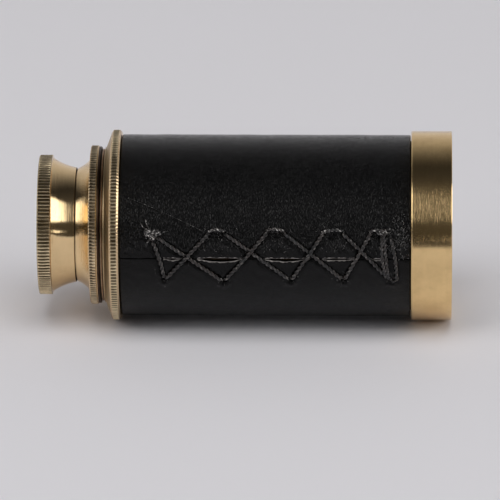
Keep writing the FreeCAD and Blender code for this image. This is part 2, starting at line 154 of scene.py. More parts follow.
def lathe(name, points, materials, segments=384, relief=None, material_at=None, loop=True):
    """A turned piece. relief(x, r, angle) gives the final radius; a loop's outline is closed."""
    points = np.array(points)
    x, r = points[:, 0], points[:, 1]
    angle = np.arange(segments) * 2 * math.pi / segments
    xs = np.repeat(x[:, None], segments, 1)
    rs = np.repeat(r[:, None], segments, 1)
    if relief is not None:
        rs = relief(xs, rs, np.repeat(angle[None, :], len(x), 0))
    verts = np.stack([xs, rs * np.sin(angle), AXIS_Z + rs * np.cos(angle)], -1).reshape(-1, 3)
    faces, kinds = [], []
    rows = len(x)
    for i in range(rows if loop else rows - 1):
        i2 = (i + 1) % rows
        kind = material_at(*((points[i] + points[i2]) / 2)) if material_at else 0
        a, b = i * segments, i2 * segments
        for j in range(segments):
            k = (j + 1) % segments
            faces.append((a + j, a + k, b + k, b + j))
            kinds.append(kind)
    if not loop:
        for row, is_first in ((0, True), (rows - 1, False)):
            base = row * segments
            fan = range(base, base + segments)
            faces.append(tuple(fan) if is_first else tuple(reversed(fan)))
            kinds.append(0)
    return new_piece(name, verts, faces, materials, kinds)


def knurl(outer, teeth, first, last):
    """Relief of straight rounded teeth between two places, and the segments it needs."""
    dice = np.random.default_rng(SEED + teeth)
    depth = KNURL_DEPTH * dice.uniform(0.85, 1.1, teeth + 1)
    beyond = 0.3                     # how much of the depth runs out past the knurl's ends

    def relief(x, r, angle):
        place = angle / (2 * math.pi) * teeth
        tooth = np.floor(place).astype(int) % teeth
        wave = 0.5 - 0.5 * np.cos((place - np.floor(place)) * 2 * math.pi)
        cut = np.clip(wave * 1.3 - 0.12, 0, 1) * depth[tooth]
        inside = (x > first) & (x < last)
        return np.minimum(r, outer - cut * np.where(inside, 1.0, beyond))

    return relief, teeth * 8


# ---------------------------------------------------------------- materials
def new_material(name):
    """A node material with its shader and tree."""
    made = bpy.data.materials.new(name)
    made.use_nodes = True
    tree = made.node_tree
    return made, tree, tree.nodes["Principled BSDF"]


def add(tree, kind, inputs=(), **settings):
    """A shader node; an input is a value or another node's socket."""
    made = tree.nodes.new("ShaderNode" + kind)
    for key, value in settings.items():
        setattr(made, key, value)
    for key, value in dict(inputs).items():
        if isinstance(value, bpy.types.NodeSocket):
            tree.links.new(value, made.inputs[key])
        else:
            made.inputs[key].default_value = value
    return made


def calc(tree, operation, a, b=0.0, c=0.0, clamp=False):
    """The result socket of a math node."""
    return add(tree, "Math", {0: a, 1: b, 2: c}, operation=operation, use_clamp=clamp).outputs[0]


def noise(tree, vector, scale, detail=2.0, rough=0.5, distortion=0.0):
    """A noise's 0 to 1 value."""
    return add(tree, "TexNoise", {"Vector": vector, "Scale": scale, "Detail": detail,
                                  "Roughness": rough, "Distortion": distortion}).outputs["Fac"]


def emboss(tree, shader, height, depth_um):
    """Bumps of a height texture on a shader, with their depth in micrometres."""
    bump = add(tree, "Bump", {"Strength": 1.0, "Distance": depth_um * 1e-6, "Height": height})
    tree.links.new(bump.outputs[0], shader.inputs["Normal"])


def remap(tree, value, low, high, to_low=0.0, to_high=1.0):
    """A clamped linear change of range."""
    return add(tree, "MapRange", {"Value": value, "From Min": low, "From Max": high,
                                  "To Min": to_low, "To Max": to_high}).outputs[0]


def blend_colour(tree, factor, a, b):
    """A mix of two colours, each an RGB triple or a socket."""
    a, b = (v if isinstance(v, bpy.types.NodeSocket) else (*v, 1.0) for v in (a, b))
    made = add(tree, "Mix", data_type="RGBA")
    for index, value in ((0, factor), (6, a), (7, b)):
        if isinstance(value, bpy.types.NodeSocket):
            tree.links.new(value, made.inputs[index])
        else:
            made.inputs[index].default_value = value
    return made.outputs[2]


def turned_coordinates(tree, around=0.03):
    """Object coordinates in which detail is stretched round the axis, and the radius in metres."""
    place = add(tree, "TexCoord").outputs["Object"]
    parts = add(tree, "SeparateXYZ", {0: place})
    y = parts.outputs["Y"]
    z = calc(tree, "SUBTRACT", parts.outputs["Z"], AXIS_Z * MM)
    r = calc(tree, "SQRT", calc(tree, "ADD", calc(tree, "MULTIPLY", y, y), calc(tree, "MULTIPLY", z, z)))
    along = calc(tree, "ADD", parts.outputs["X"], r)
    lines = add(tree, "CombineXYZ", {0: along, 1: calc(tree, "MULTIPLY", y, around),
                                     2: calc(tree, "MULTIPLY", z, around)}).outputs[0]
    return place, lines, r


def brass(name, tone, stain, rough, lines, line_depth_um, anisotropy, stain_amount=0.35):
    """Brass as turned and lacquered: lathe lines round the axis, cloudy tone, faint stains."""
    made, tree, shader = new_material(name)
    place, around, _ = turned_coordinates(tree)
    cloud = noise(tree, place, 260.0, 4.0, 0.6)
    spots = remap(tree, noise(tree, place, 900.0, 3.0, 0.65), 0.60, 0.74)
    fine = noise(tree, around, lines, 3.0, 0.7)
    broad = noise(tree, around, lines * 0.22, 2.0, 0.6)
    dull = calc(tree, "MULTIPLY", remap(tree, cloud, 0.42, 0.70), stain_amount)
    dull = calc(tree, "ADD", dull, calc(tree, "MULTIPLY", spots, stain_amount * 0.5), clamp=True)
    streak = calc(tree, "MULTIPLY", remap(tree, broad, 0.35, 0.75), 0.25 * stain_amount)
    dull = calc(tree, "ADD", dull, streak, clamp=True)
    colour = blend_colour(tree, dull, tone, stain)
    tree.links.new(colour, shader.inputs["Base Color"])
    worn = calc(tree, "MULTIPLY_ADD", fine, rough * 0.5, rough * 0.75)
    worn = calc(tree, "MULTIPLY_ADD", dull, 0.14, worn)
    tree.links.new(worn, shader.inputs["Roughness"])
    height = calc(tree, "MULTIPLY_ADD", broad, 0.5, fine)
    emboss(tree, shader, height, line_depth_um)
    shader.inputs["Metallic"].default_value = 1.0
    if anisotropy:
        shader.inputs["Anisotropic"].default_value = anisotropy
        shader.inputs["Anisotropic Rotation"].default_value = 0.25
        tangent = add(tree, "Tangent", direction_type="RADIAL", axis="X")
        tree.links.new(tangent.outputs[0], shader.inputs["Tangent"])
    return made


def knurled_brass(name, outer, tone, groove_tone, rough):
    """Brass of a knurl: worn bright crests, grooves darker and duller the deeper they are cut."""
    made, tree, shader = new_material(name)
    place, around, r = turned_coordinates(tree)
    # The grooves' colour turns to the groove tone and their roughness rises with their depth below the
    # crests.
    deep = remap(tree, r, (outer - 0.75 * KNURL_DEPTH) * MM, (outer - 0.05 * KNURL_DEPTH) * MM, 1.0, 0.0)
    cloud = noise(tree, place, 420.0, 4.0, 0.6)
    depth_darkening = calc(tree, "MULTIPLY", deep, remap(tree, cloud, 0.2, 0.7, 0.70, 1.0), clamp=True)
    worn_tone = blend_colour(tree, remap(tree, cloud, 0.35, 0.7, 0.0, 0.45), tone, groove_tone)
    colour = blend_colour(tree, depth_darkening, worn_tone, groove_tone)
    tree.links.new(colour, shader.inputs["Base Color"])
    grain = noise(tree, place, 6000.0, 3.0, 0.6)
    surface = calc(tree, "MULTIPLY_ADD", depth_darkening, 0.25, calc(tree, "MULTIPLY_ADD", grain, 0.12, rough - 0.06))
    tree.links.new(surface, shader.inputs["Roughness"])
    emboss(tree, shader, calc(tree, "ADD", grain, noise(tree, around, 9000.0, 2.0)), 6)
    shader.inputs["Metallic"].default_value = 1.0
    return made


def leather(name="black_leather"):
    """Thin black goat leather: pebble grain, creases, satin finish and small scuffs, with pale specks painted
    above the seam as glints of the grain.
    """
    made, tree, shader = new_material(name)
    place = add(tree, "TexCoord").outputs["Object"]
    warp = add(tree, "TexNoise", {"Vector": place, "Scale": 900.0, "Detail": 2.0})
    drawn = add(tree, "VectorMath", {0: place, 1: (1.9, 1.0, 1.0)}, operation="MULTIPLY").outputs[0]
    bent = add(tree, "VectorMath", {0: drawn, 1: add(
        tree, "VectorMath", {0: warp.outputs["Color"], 3: 0.00045}, operation="SCALE").outputs[0]},
        operation="ADD").outputs[0]
    pebbles = add(tree, "TexVoronoi", {"Vector": bent, "Scale": 2300.0, "Randomness": 1.0},
                  feature="DISTANCE_TO_EDGE")
    domes = add(tree, "MapRange", {"Value": pebbles.outputs["Distance"], "From Max": 0.13},
                interpolation_type="SMOOTHSTEP").outputs[0]
    pores = noise(tree, place, 5200.0, 4.0, 0.65)
    swell = noise(tree, place, 420.0, 3.0, 0.55)
    height = calc(tree, "MULTIPLY_ADD", domes, 0.5, calc(tree, "MULTIPLY", pores, 0.45))
    height = calc(tree, "MULTIPLY_ADD", swell, 0.9, height)
    emboss(tree, shader, height, 52)
    scuff = remap(tree, noise(tree, place, 1500.0, 5.0, 0.72), 0.62, 0.74)
    tone = blend_colour(tree, remap(tree, swell, 0.3, 0.7), (0.0007, 0.0007, 0.0008),
                        (0.0018, 0.0017, 0.0017))
    tone = blend_colour(tree, calc(tree, "MULTIPLY", scuff, 0.35), tone, (0.028, 0.027, 0.026))
    # Painted highlights: pale specks put into the colour in a band of height above the seam stand for glints
    # of the grain; they lie on front and back alike.
    up = add(tree, "SeparateXYZ", {0: place}).outputs["Z"]
    pale_mask = calc(tree, "MULTIPLY", remap(tree, up, (AXIS_Z + 0.3) * MM, (AXIS_Z + 1.6) * MM),
                  remap(tree, up, (AXIS_Z + 7.5) * MM, (AXIS_Z + 12.0) * MM, 1.0, 0.12))
    dashes = add(tree, "VectorMath", {0: drawn, 1: (1.25, 0.7, 0.7)}, operation="MULTIPLY").outputs[0]
    painted_glint_specks = remap(tree, noise(tree, dashes, 3300.0, 2.0, 0.6), 0.56, 0.69)
    tone = blend_colour(tree, calc(tree, "MULTIPLY", painted_glint_specks, pale_mask), tone, (0.040, 0.039, 0.038))
    tree.links.new(tone, shader.inputs["Base Color"])
    shine = noise(tree, place, 2100.0, 3.0, 0.6)
    tree.links.new(remap(tree, shine, 0.42, 0.56, 0.24, 0.06), shader.inputs["Roughness"])
    shader.inputs["Specular IOR Level"].default_value = 0.205
    return made


def cut_leather(name="leather_cut_edge"):
    """The cut edge of the leather: undyed fibres that took a little black."""
    made, tree, shader = new_material(name)
    place = add(tree, "TexCoord").outputs["Object"]
    fibres = noise(tree, place, 4200.0, 4.0, 0.7)
    tone = blend_colour(tree, remap(tree, fibres, 0.3, 0.75), (0.10, 0.092, 0.088), (0.50, 0.465, 0.44))
    tree.links.new(tone, shader.inputs["Base Color"])
    emboss(tree, shader, fibres, 40)
    shader.inputs["Roughness"].default_value = 0.75
    shader.inputs["Specular IOR Level"].default_value = 0.3
    return made


def waxed_thread(name, dark, brown, fluff_and_sheen, gloss, pale_from):
    """Black waxed thread, a little brown where the wax has worn off, with painted shade in the grooves
    between its plies.
    """
    made, tree, shader = new_material(name)
    place = add(tree, "TexCoord").outputs["Object"]
    crest = remap(tree, add(tree, "Attribute", attribute_name="crest").outputs["Fac"], 0.45, 1.0)
    patch = remap(tree, noise(tree, place, 380.0, 3.0, 0.6), 0.42, 0.62)
    fuzz = noise(tree, place, 9000.0, 4.0, 0.7)
    # The mask turns the colour towards the fluff tone: pale fibres where the wax has worn off, and on the
    # worn thread also a painted sheen that stands for its highlights.
    pale_mask = remap(tree, noise(tree, place, 2300.0, 3.0, 0.65), pale_from, pale_from + 0.08)
    pale_mask = calc(tree, "MULTIPLY", pale_mask, remap(tree, fuzz, 0.3, 0.6, 0.3, 1.0))
    lit = blend_colour(tree, pale_mask, blend_colour(tree, patch, dark, brown), fluff_and_sheen)
    # Painted shade: where the crest attribute is low, in the grooves between the plies, the colour goes near
    # black.
    tree.links.new(blend_colour(tree, crest, (0.002, 0.002, 0.002), lit), shader.inputs["Base Color"])
    tree.links.new(remap(tree, fuzz, 0.3, 0.7, gloss, gloss + 0.25), shader.inputs["Roughness"])
    emboss(tree, shader, fuzz, 22)
    shader.inputs["Specular IOR Level"].default_value = 0.7
    return made


def black_paint(name="black_paint"):
    """Matt black varnish of the inner fittings, brassy where it has worn through."""
    made, tree, shader = new_material(name)
    place, around, _ = turned_coordinates(tree)
    rub = remap(tree, noise(tree, around, 2600.0, 4.0, 0.7), 0.66, 0.74, 0.0, 0.5)
    tree.links.new(blend_colour(tree, rub, (0.008, 0.008, 0.008), (0.16, 0.11, 0.05)),
                   shader.inputs["Base Color"])
    grain = noise(tree, place, 7000.0, 3.0, 0.6)
    tree.links.new(remap(tree, grain, 0.3, 0.7, 0.5, 0.72), shader.inputs["Roughness"])
    emboss(tree, shader, grain, 8)
    return made


def felt(name="felt"):
    """Dark red-brown felt of the linings."""
    made, tree, shader = new_material(name)
    place = add(tree, "TexCoord").outputs["Object"]
    fibres = noise(tree, place, 5200.0, 5.0, 0.75, 1.5)
    tree.links.new(blend_colour(tree, fibres, (0.030, 0.010, 0.008), (0.120, 0.045, 0.035)),
                   shader.inputs["Base Color"])
    emboss(tree, shader, fibres, 60)
    shader.inputs["Roughness"].default_value = 0.95
    shader.inputs["Sheen Weight"].default_value = 0.3
    return made


def coated_glass(name="coated_glass"):
    """Optical glass with the faint dust and wipe marks of an old lens."""
    made, tree, shader = new_material(name)
    place = add(tree, "TexCoord").outputs["Object"]
    dust = remap(tree, noise(tree, place, 4200.0, 4.0, 0.7), 0.66, 0.80)
    wipe = noise(tree, place, 300.0, 3.0, 0.6, 2.0)
    haze = calc(tree, "MULTIPLY_ADD", dust, 0.10, calc(tree, "MULTIPLY", wipe, 0.035))
    tree.links.new(haze, shader.inputs["Roughness"])
    tree.links.new(blend_colour(tree, dust, (0.93, 0.97, 0.96), (0.80, 0.82, 0.80)),
                   shader.inputs["Base Color"])
    shader.inputs["IOR"].default_value = 1.52
    shader.inputs["Transmission Weight"].default_value = 1.0
    return made


POLISHED = (0.905, 0.665, 0.365)
SATIN = (0.88, 0.63, 0.31)
STAIN = (0.40, 0.24, 0.10)

LACQUERED = brass("lacquered_brass", POLISHED, STAIN, 0.10, 6200.0, 26.0, 0.6, 0.16)
CAP_BRASS = brass("cap_brass", (0.78, 0.58, 0.35), STAIN, 0.2, 5200.0, 1.2, 0.0, 0.4)
CONE_BRASS = brass("cone_brass", (0.50, 0.39, 0.23), STAIN, 0.36, 5200.0, 1.6, 0.0, 0.45)
SATIN_BRASS = brass("satin_brass", SATIN, STAIN, 0.17, 6200.0, 45.0, 0.75, 0.25)
TUBE_BRASS = brass("draw_tube_brass", POLISHED, STAIN, 0.15, 6200.0, 1.0, 0.5, 0.25)
INNER_BRASS = brass("inner_brass", (0.62, 0.42, 0.2), (0.20, 0.12, 0.05), 0.34, 3000.0, 3.0, 0.4, 0.6)
# Near-black brass of the thread and the first bead: oxide, and painted shade of the recess between the cap
# ring and the barrel collar.
THREAD_BRASS = brass("thread_brass", (0.10, 0.06, 0.04), (0.022, 0.012, 0.009), 0.30, 5200.0, 2.0, 0.0, 0.8)
BEAD_BRASS = brass("bead_brass", (0.56, 0.38, 0.24), (0.16, 0.09, 0.06), 0.36, 5200.0, 2.0, 0.0, 0.6)
# Painted shade: near-black brass set where gaps lie in shade, behind the seam of the leather and on the
# eyecup's lip in its joint with the flared collar.
PAINTED_SHADE_BRASS = brass("painted_shade_brass", (0.06, 0.04, 0.02), (0.01, 0.008, 0.006), 0.6, 3000.0, 3.0, 0.0, 0.7)
LEATHER = leather()
CUT_LEATHER = cut_leather()
THREAD = waxed_thread("waxed_thread", (0.009, 0.008, 0.008), (0.034, 0.024, 0.021), (0.22, 0.20, 0.185),
                      0.20, 0.54)
# Its near-white fluff tone is partly pale fibre and partly a painted sheen standing for highlights on the
# bars and knots.
WORN_SHEEN_THREAD = waxed_thread("worn_sheen_thread", (0.010, 0.009, 0.009), (0.030, 0.020, 0.016), (0.90, 0.87, 0.83),
                           0.18, 0.53)
FLAKES = waxed_thread("scuffed_leather", (0.05, 0.048, 0.047), (0.10, 0.095, 0.09), (0.55, 0.53, 0.51),
                      0.30, 0.50)
BLACK = black_paint()
FELT = felt()
GLASS = coated_glass()


# ---------------------------------------------------------------- eyepiece and draw collars
def build_eyecup():
    """Dished eyepiece cap with a knurled flange and a hollow polished waist."""
    start, end = span("eyecup")
    outer = radius("eyecup")
    tube_seat = radius("draw_3_tube") + SNUG
    lens = radius("eye_lens") + 0.05
    flange = start + 2.2
    lip = end - 0.14
    waist = arc((flange + 0.05, 11.08), (flange + 1.7, 10.18), (lip, 9.5), 40)
    dish = arc((start + 2.2, 4.0), (start + 1.0, 5.6), (start + 0.25, 9.45), 30)
    first, last = start + 0.17, flange - 0.12
    shape = outline(
        (start, 9.72, 0.08), (start, outer - 0.14, 0.05), (start + 0.14, outer, 0.05),
        (first + 0.05, outer), (last - 0.05, outer), (flange - 0.08, outer, 0.04),
        (flange, outer - 0.12, 0.04), (flange + 0.05, 11.08, 0.05), waist[:-2], (lip - 0.08, 9.5),
        (lip - 0.05, 9.46), (lip - 0.05, 9.12), (lip + 0.04, 9.12), (lip + 0.04, tube_seat),
        (start + 2.95, tube_seat), (start + 2.95, 6.2), (start + 5.2, 6.2, 0.05),
        (start + 5.2, lens), (start + 2.75, lens),
        (start + 2.75, 4.2, 0.04), (start + 2.2, 4.0, 0.06), dish,
    )
    relief, segments = knurl(outer, FLANGE_TEETH, first, last)
    rim = knurled_brass("flange_knurl", outer, (1.0, 0.82, 0.53), (0.08, 0.053, 0.024), 0.24)

    def kind(x, r):
        if r > outer - 0.10 and start + 0.05 < x < flange - 0.02:
            return 1
        # The lip's inner face in the joint with the flared collar is painted shade.
        return 2 if x > lip - 0.06 and r < 9.47 else 0

    materials = [LACQUERED, rim, PAINTED_SHADE_BRASS]
    return stands_for(lathe("eyecup_shell", shape, materials, segments, relief, kind), "eyecup")


def build_flared_collar():
    """Polished trumpet on the end of draw 2, with the spigot that guides draw 3."""
    start, end = span("draw_2_collar")
    shoulder = span("draw_2_tube")[0]
    bore = radius("draw_3_tube") + 0.05
    spigot = radius("draw_2_tube") - WALL - SNUG
    seat = spigot - 0.4
    brim = radius("draw_2_collar")
    nose = start - 0.10
    flare = arc((nose + 0.04, 9.39), (start + 1.02, 9.99), (shoulder - 0.12, brim), 36)
    shape = outline(
        (nose, bore, 0.04), (nose, 9.33), (nose + 0.04, 9.39, 0.03), flare[:-1],
        (shoulder - 0.12, brim, 0.03), (shoulder, brim, 0.05), (shoulder, spigot),
        (end, spigot, 0.1), (end, seat),
        (shoulder + 0.3, seat), (shoulder + 0.3, bore),
    )
    return stands_for(lathe("flared_collar", shape, [LACQUERED]), "draw_2_collar")


def build_cap_ring():
    """Knurled cap of draw 1, darker with age than the rest."""
    start, end = span("draw_1_cap_ring")
    outer = radius("draw_1_cap_ring")
    bore = radius("draw_2_tube") + 0.05
    thread = radius("draw_1_threaded_collar") + SNUG
    first, last = start + 0.19, end - 0.27
    shape = outline(
        (start, bore, 0.05), (start, outer - 0.15, 0.04), (start + 0.15, outer, 0.03),
        (first + 0.05, outer), (last - 0.05, outer), (end - 0.25, outer, 0.03),
        (end, outer - 0.25, 0.05), (end, thread, 0.04), (start + 0.6, thread), (start + 0.6, bore),
    )
    relief, segments = knurl(outer, CAP_TEETH, first, last)
    rim = knurled_brass("cap_knurl", outer, (0.80, 0.65, 0.43), (0.065, 0.045, 0.028), 0.36)

    def kind(x, r):
        return 0 if r > outer - 0.06 and first < x < last else 1

    piece = lathe("cap_ring", shape, [rim, CAP_BRASS], segments, relief, kind)
    return stands_for(piece, "draw_1_cap_ring")


def build_threaded_collar():
    """The collar of draw 1: the cap's thread and two dark turned beads beside the cap. The thread and the
    first bead are near black: oxide, with painted shade of the gap they sit in.
    """
    start, end = span("draw_1_threaded_collar")
    seat, root = radius("draw_1_tube") + SNUG, 12.4
    pitch, turns = 0.32, 2
    shape = [(start, seat), (start, root)]
    for k in range(turns * 12 + 1):
        shape.append((start + 0.05 + k / 12 * pitch, root + 0.19 * (0.5 - 0.5 * math.cos(k * math.pi / 6))))
    for first, last, crest in ((0.78, 1.10, 13.0), (1.20, 1.58, 12.6)):
        foot, middle = crest - 0.25, start + (first + last) / 2
        shape += [(start + first, 12.2), (start + first, foot)]
        shape += arc((start + first, foot), (middle, crest), (start + last, foot), 12)
        shape += [(start + last, 12.2)]
    shape += [(end, 12.2), (end, seat)]

    def kind(x, r):
        return 1 if x > start + 1.15 and r > 12.35 else 0

    piece = lathe("threaded_collar", shape, [THREAD_BRASS, BEAD_BRASS], 320, None, kind)
    return stands_for(piece, "draw_1_threaded_collar")


def build_barrel_collar():
    """End collar of the barrel: polished cone, knurled rim, bright bevels and the hidden spigot."""
    start, end = span("barrel_collar")
    outer = radius("barrel_collar")
    back = span("barrel_tube")[0]
    bore = radius("draw_1_tube") + 0.05
    spigot = radius("barrel_tube") - 0.5 - SNUG
    seat = bore + 0.65
    first, last = start + 1.48, back - 0.36
    shape = outline(
        (start + 0.06, bore, 0.05), (start + 0.06, 12.84, 0.05), (start + 0.24, 12.88, 0.04),
        (start + 1.17, outer - 0.33, 0.05), (start + 1.45, outer, 0.03), (first + 0.05, outer),
        (last - 0.05, outer), (back - 0.33, outer, 0.03), (back, outer - 0.33, 0.05),
        (back, spigot), (end, spigot, 0.1), (end, seat), (start + 1.6, seat), (start + 1.6, bore),
    )
    relief, segments = knurl(outer, COLLAR_TEETH, first, last)
    rim = knurled_brass("collar_knurl", outer, (1.0, 0.84, 0.56), (0.11, 0.074, 0.038), 0.30)

    def kind(x, r):
        if r > outer - 0.04 and first < x < last:
            return 1
        return 2 if x < start + 1.16 and r > 12.5 else 0

    piece = lathe("barrel_collar_ring", shape, [CAP_BRASS, rim, CONE_BRASS], segments, relief, kind)
    return stands_for(piece, "barrel_collar")


def build_objective_ring():
    """Satin bezel brushed round the barrel's front end."""
    start, end = span("objective_ring")
    outer = radius("objective_ring")
    tube = radius("barrel_tube") + SNUG
    cell_front = end - 1.4
    tube_end = span("barrel_tube")[1] + 0.1
    shape = outline(
        (start, tube, 0.05), (start, outer - 0.12, 0.04), (start + 0.22, outer, 0.05),
        (end - 0.1, outer, 0.05), (end, outer - 0.1, 0.05), (end, 14.3, 0.10),
        (end - 0.9, 12.95, 0.08), (cell_front, 12.9), (cell_front, 13.5), (tube_end, 13.5),
        (tube_end, tube),
    )
    return stands_for(lathe("objective_bezel", shape, [SATIN_BRASS], 512), "objective_ring")


def build_tube(node, name):
    """A draw tube with softened ends."""
    start, end = span(node)
    outer = radius(node)
    shape = outline((start, outer - WALL, 0.05), (start, outer, 0.08), (end, outer, 0.08),
                    (end, outer - WALL, 0.05))
    return stands_for(lathe(name, shape, [TUBE_BRASS]), node)


def build_retaining_ring():
    """Black ring in front of the objective glasses, with its two key slots."""
    start, end = span("lens_retaining_ring")
    outer = radius("lens_retaining_ring")
    slot_half, slot_depth = 0.5, 0.4
    shape = outline((start, outer - 0.27), (start, outer), (end, outer, 0.03), (end, 12.1, 0.08),
                    (end - 0.25, 11.7, 0.05), (start + 0.35, 11.7))
    piece = lathe("retaining_ring", shape, [BLACK], 720)
    mesh = piece.data
    co = np.empty(len(mesh.vertices) * 3)
    mesh.vertices.foreach_get("co", co)
    co = co.reshape(-1, 3) / MM
    in_slot = (np.abs(co[:, 2] - AXIS_Z) < slot_half) & (co[:, 0] > end - slot_depth)
    co[in_slot, 0] = end - slot_depth
    mesh.vertices.foreach_set("co", (co * MM).ravel())
    return stands_for(piece, "lens_retaining_ring")


def dome(rim_x, apex_x, rim_r, steps=28):
    """Points of a spherical lens face from its rim to just short of the optical axis."""
    sag = apex_x - rim_x
    ball = (rim_r**2 + sag**2) / (2 * abs(sag))
    reach = math.asin(rim_r / ball)
    tip = 0.02
    made = []
    for k in range(1, steps + 1):
        a = reach * (1 - k / steps)
        r = max(ball * math.sin(a), tip)
        made.append((apex_x - math.copysign(ball - ball * math.cos(a), sag), r))
    return made


def build_lenses():
    """Objective and eye glasses with true spherical faces."""
    seat, _ = span("flint_lens")
    rim_r = radius("crown_lens")
    rim = span("flint_lens")[1]
    flint = [(seat, 0.02), (seat, rim_r - 0.15), (seat + 0.15, rim_r), (rim, rim_r)]
    flint += dome(rim, rim - 1.1, rim_r)
    stands_for(lathe("flint_glass", flint, [GLASS], 256, loop=False), "flint_lens")
    back = rim + 0.04
    front = span("crown_lens")[1] - 1.0
    crown = list(reversed(dome(back, back - 1.1, rim_r))) + [(back, rim_r), (front, rim_r)]
    crown += dome(front, front + 1.0, rim_r)
    stands_for(lathe("crown_glass", crown, [GLASS], 256, loop=False), "crown_lens")
    start, end = span("eye_lens")
    eye_r = radius("eye_lens")
    eye = [(start, 0.02), (start, eye_r - 0.1), (start + 0.1, eye_r), (end - 0.8, eye_r)]
    eye += dome(end - 0.8, end, eye_r)
    stands_for(lathe("eye_glass", eye, [GLASS], 192, loop=False), "eye_lens")


# ---------------------------------------------------------------- leather and lacing
COVER_START, COVER_END = span("leather_cover")
COVER_R = radius("leather_cover")
COVER_INNER = radius("barrel_tube") + 0.03
SEAM_ELEVATION = math.radians(-2.0)
LACE_R = 0.33
LACE_TOP = 15.73              # no thread reaches farther from the axis


def placed(*holes):
    """Lacing holes from (x from the eyepiece's face, distance round the cover from the seam)."""
    return [(EYE_FACE + x, s) for x, s in holes]


UPPER = placed((19.8, 3.7), (28.6, 4.45), (30.9, 4.35), (38.1, 4.55), (40.6, 4.5), (47.2, 4.4),
               (50.3, 4.4), (55.0, 4.45), (57.4, 4.3))
LOWER = placed((21.1, -3.9), (30.8, -4.25), (41.8, -4.0), (50.5, -3.9), (58.3, -4.1))

# strands that run under at the crossings, then those that run over, each from hole to hole
UNDER = [(UPPER[2 * k], LOWER[k + 1]) for k in range(4)]
OVER = [(LOWER[k], UPPER[2 * k + 1]) for k in range(4)]
BARS = [(UPPER[2 * k + 1], UPPER[2 * k + 2]) for k in range(4)]
ENDS = [(placed((19.25, 2.9))[0], LOWER[0])] + [
    (top, bottom) for top, bottom in zip(placed((57.1, 4.2), (58.2, 3.6)),
                                         placed((57.9, -3.9), (59.2, -4.0)))]

# gaping stretches of the seam: from, to, how far the lower and the upper edge pull back
GAPES = [(EYE_FACE + a, EYE_FACE + b, low, high) for a, b, low, high in (
    (20.6, 24.4, 0.34, 0.06), (25.6, 35.0, 0.66, 0.10), (36.6, 45.4, 0.56, 0.06),
    (45.9, 53.2, 0.28, 0.12), (54.4, 57.8, 0.20, 0.05))]


def crossing(a, b):
    """Where two strands cross, in the unrolled cover."""
    (ax, ay), (bx, by) = a
    (cx, cy), (dx, dy) = b
    det = (bx - ax) * (cy - dy) - (by - ay) * (cx - dx)
    t = ((cx - ax) * (cy - dy) - (cy - ay) * (cx - dx)) / det
    return ax + t * (bx - ax), ay + t * (by - ay)


CROSSINGS = [crossing(over, under) for over, under in zip(OVER, UNDER)]


def distance_to(strand, x, s):
    """Distance from points of the unrolled cover to a strand."""
    (x0, s0), (x1, s1) = strand
    dx, ds = x1 - x0, s1 - s0
    t = np.clip(((x - x0) * dx + (s - s0) * ds) / (dx * dx + ds * ds), 0, 1)
    return np.hypot(x - x0 - t * dx, s - s0 - t * ds)


def waves(x, s, seed, count, longest, shortest):
    """Smooth pseudo-random waves between -1 and 1 over the unrolled cover."""
    dice = np.random.default_rng(seed)
    total = np.zeros_like(x)
    for _ in range(count):
        length = math.exp(dice.uniform(math.log(shortest), math.log(longest)))
        way, phase = dice.uniform(0, 2 * math.pi, 2)
        total += np.sin((x * math.cos(way) + s * math.sin(way)) * 2 * math.pi / length + phase)
    return total / math.sqrt(count)


def swelling(x, s):
    """Height of the leather over its plain cylinder, in millimetres."""
    high = 0.012 * waves(x, s, SEED, 9, 14.0, 4.0)
    near_seam = np.exp(-(s / 5.5) ** 2)
    high = high + near_seam * 0.040 * waves(x, s, SEED + 1, 12, 2.6, 0.8)
    for strand in UNDER + OVER + ENDS:
        d = distance_to(strand, x, s)
        high = high - 0.22 * np.exp(-(d / 0.50) ** 2) + 0.06 * np.exp(-((d - 1.0) / 0.45) ** 2)
    for (ax, upper_s), (bx, _) in BARS:
        pit = np.exp(-(((x - (ax + bx) / 2) / 1.1) ** 2 + ((s - upper_s + 0.55) / 0.45) ** 2) ** 1.5)
        high = high - 0.52 * pit
    for cx, cs in CROSSINGS:
        high = high - 0.10 * np.exp(-((x - cx) ** 2 + (s - cs) ** 2) / 0.7 ** 2)
    for k, (hx, hs) in enumerate(UPPER + LOWER):
        d = np.hypot(x - hx, s - hs)
        around = np.arctan2(s - hs, x - hx)
        fold = np.sin(around * (5 + k % 3) + 1.7 * k) + 0.6 * np.sin(around * (9 + k % 2) + k)
        high = high - 0.26 * np.exp(-(d / 0.42) ** 2) + 0.07 * np.exp(-((d - 0.8) / 0.35) ** 2)
        high = high + 0.040 * fold * np.exp(-((d - 0.9) / 0.75) ** 2)
    pucker = np.exp(-((x - UPPER[8][0] - 0.8) / 2.2) ** 2 - ((s - 3.2) / 3.2) ** 2)
    high = high + 0.05 * pucker * waves(x, s, SEED + 2, 8, 1.6, 0.7)
    for start, end, _, _ in GAPES:
        u = np.clip((x - start) / (end - start), 0, 1)
        open_here = np.sin(math.pi * u) ** 1.3
        above, below = np.exp(-np.abs(s) / 0.9) * (s >= 0), np.exp(-np.abs(s) / 1.1) * (s < 0)
        high = high + open_here * (0.10 * above - 0.12 * below)
    seam_dip = np.exp(-(s / 0.35) ** 2)
    high = high - 0.05 * seam_dip
    return high


def gape(x):
    """How far the upper and the lower edge of the seam stand back from its line."""
    upper = np.full_like(x, 0.02)
    lower = np.full_like(x, 0.02)
    for start, end, lower_pull, upper_pull in GAPES:
        u = np.clip((x - start) / (end - start), 0, 1)
        upper += upper_pull * np.sin(math.pi * u) ** 1.2
        lower += lower_pull * np.sin(math.pi * u) ** 1.4
    upper += 0.02 * np.sin(x * 1.9) + 0.015 * np.sin(x * 4.3 + 1)
    lower += 0.02 * np.sin(x * 1.9) + 0.015 * np.sin(x * 3.7 + 2)
    return np.maximum(upper, 0.012), np.maximum(lower, 0.012)


